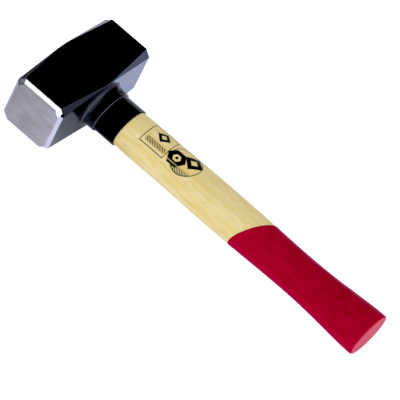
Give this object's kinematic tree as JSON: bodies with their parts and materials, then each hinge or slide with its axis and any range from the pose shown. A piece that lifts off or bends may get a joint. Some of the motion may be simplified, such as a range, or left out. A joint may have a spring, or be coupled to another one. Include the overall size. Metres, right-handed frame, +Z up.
{
  "type": "lump hammer",
  "caption": "Short one-hand lump hammer: a heavy square forged head with bevelled flat faces on an oval ash handle with a protective neck sleeve and a dip-coated grip.",
  "frame": {"origin": "centre of the lower cheek of the head, on the surface that the hammer lies on", "axes": "+X from the head along the handle to the butt, +Y along the head from one striking face to the other, +Z up from the lower cheek to the upper one"},
  "size_m": [0.2798, 0.1, 0.0405],
  "materials": {
    "head_lacquered_steel": "glossy black lacquer on forged steel, striking faces and their bevels ground bare",
    "ash_wood": "sanded ash with long straight grain under a thin clear wax",
    "wedge_wood": "plain darker hardwood, end grain showing",
    "bare_steel": "plain turned steel",
    "sleeve_lacquered_steel": "glossy black lacquer on thin steel",
    "grip_coat": "satin red dipped lacquer, smooth and slightly wavy"
  },
  "bodies": {
    "root": {"hammer_head": "head_lacquered_steel", "handle": "ash_wood", "wood_wedge": "wedge_wood", "ring_wedge": "bare_steel", "protective_sleeve": "sleeve_lacquered_steel", "grip_coating": "grip_coat"}
  },
  "joints": []
}
